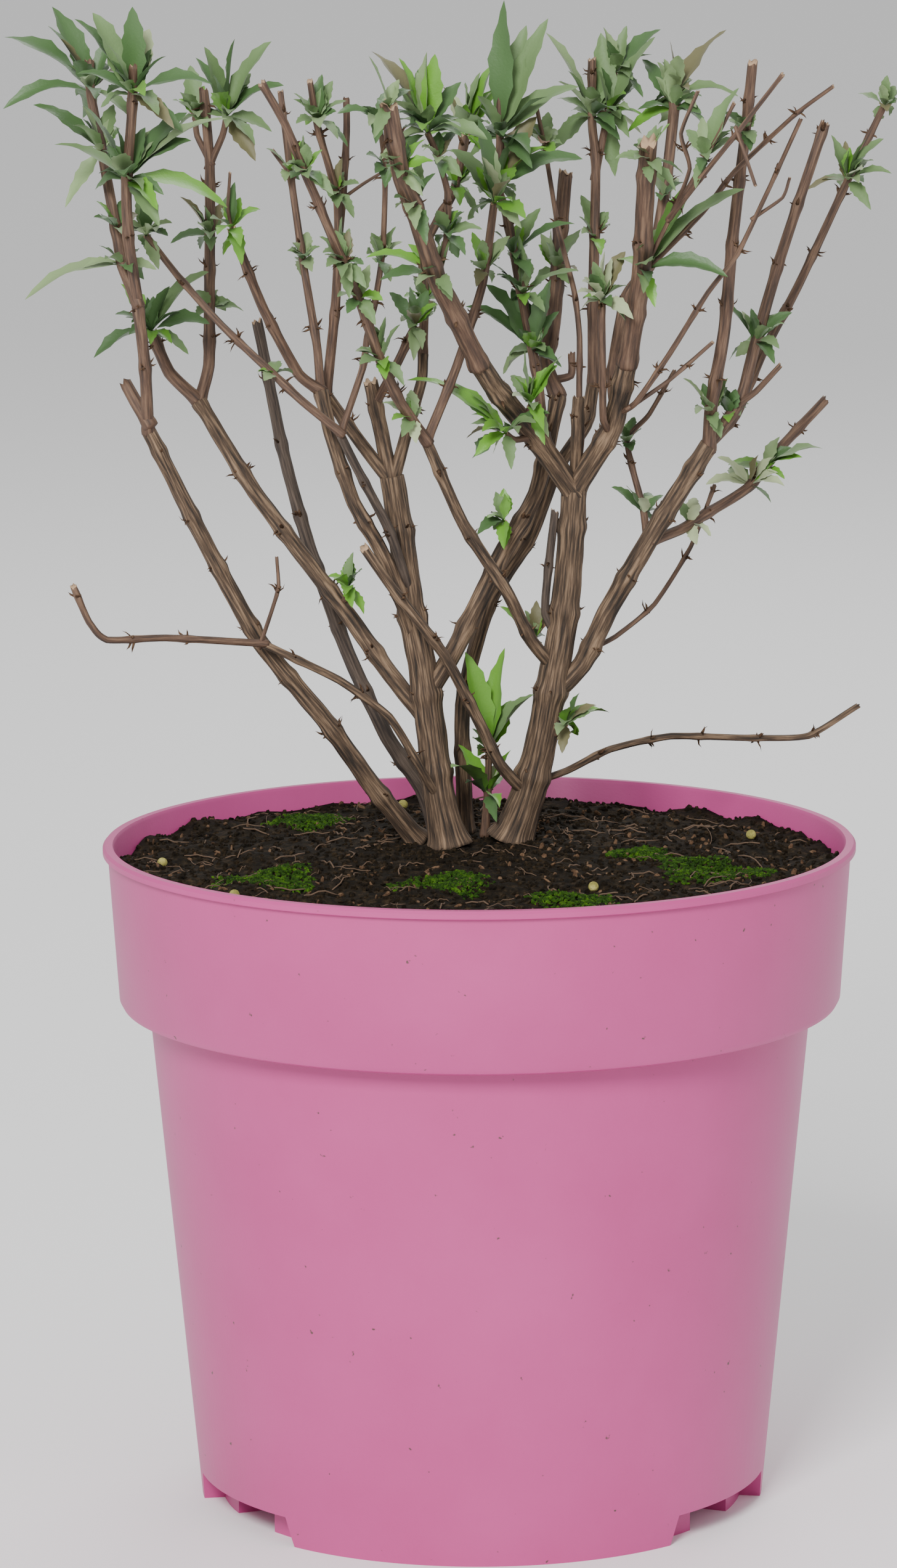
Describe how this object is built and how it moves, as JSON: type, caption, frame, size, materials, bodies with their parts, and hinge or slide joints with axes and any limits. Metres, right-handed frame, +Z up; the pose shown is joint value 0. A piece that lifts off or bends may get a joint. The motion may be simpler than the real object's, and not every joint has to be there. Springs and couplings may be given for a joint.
{
  "type": "potted shrub",
  "caption": "Pruned multi-stemmed butterfly bush with fresh lance-shaped leaves, growing in a plain round plastic pot with a stepped collar.",
  "frame": {"origin": "on the pot's axis, in the plane of its flat underside, where it stands on the ground", "axes": "+Z up along the pot's axis, -Y towards the viewer of the picture, +X to the viewer's right"},
  "size_m": [0.2248, 0.19, 0.3798],
  "materials": {
    "pot_plastic": "matte fine-grained moulded plastic",
    "soil": "loose dark potting soil",
    "bark": "rough fissured bark",
    "foliage": "soft matte leaves on thin twigs"
  },
  "bodies": {
    "root": {"bough_front": "bark", "bough_right": "bark", "branch_low_left": "bark", "branch_low_left_tip": "foliage", "branch_low_right": "bark", "fork_left": "bark", "fork_middle": "bark", "fork_right": "bark", "pot": "pot_plastic", "soil": "soil", "spray_back": "foliage", "spray_back_right": "foliage", "spray_centre": "foliage", "spray_centre_left": "foliage", "spray_cross": "foliage", "spray_dark": "foliage", "spray_far_left": "foliage", "spray_front": "foliage", "spray_leaning": "foliage", "spray_left": "foliage", "spray_left_low": "foliage", "spray_mid_left_a": "foliage", "spray_mid_left_b": "foliage", "spray_mid_left_c": "foliage", "spray_mid_left_d": "foliage", "spray_right": "foliage", "spray_right_back": "foliage", "spray_right_front": "foliage", "spray_right_mid": "foliage", "spray_side": "foliage", "spray_slender": "foliage", "spray_slim_right": "foliage", "spray_small_right": "foliage", "spray_straight": "foliage", "spray_thin_far_right": "foliage", "spray_thread": "foliage", "spray_torn": "foliage", "sprout_base": "foliage", "sprout_bough_over": "foliage", "sprout_bough_under": "foliage", "sprout_ribbed": "foliage", "sprout_right_base": "foliage", "sprout_stem_left": "foliage", "sprout_trunk_left_side": "foliage", "stem_back_left": "bark", "stem_far_left": "bark", "stem_leaning": "bark", "stem_left": "bark", "stem_mid_left": "bark", "stem_rear": "bark", "stem_ribbed": "bark", "stem_right": "bark", "stem_thin_left": "bark", "stub_centre": "bark", "stub_crossing": "bark", "stub_grey": "bark", "trunk_left": "bark", "trunk_right": "bark"}
  },
  "joints": []
}
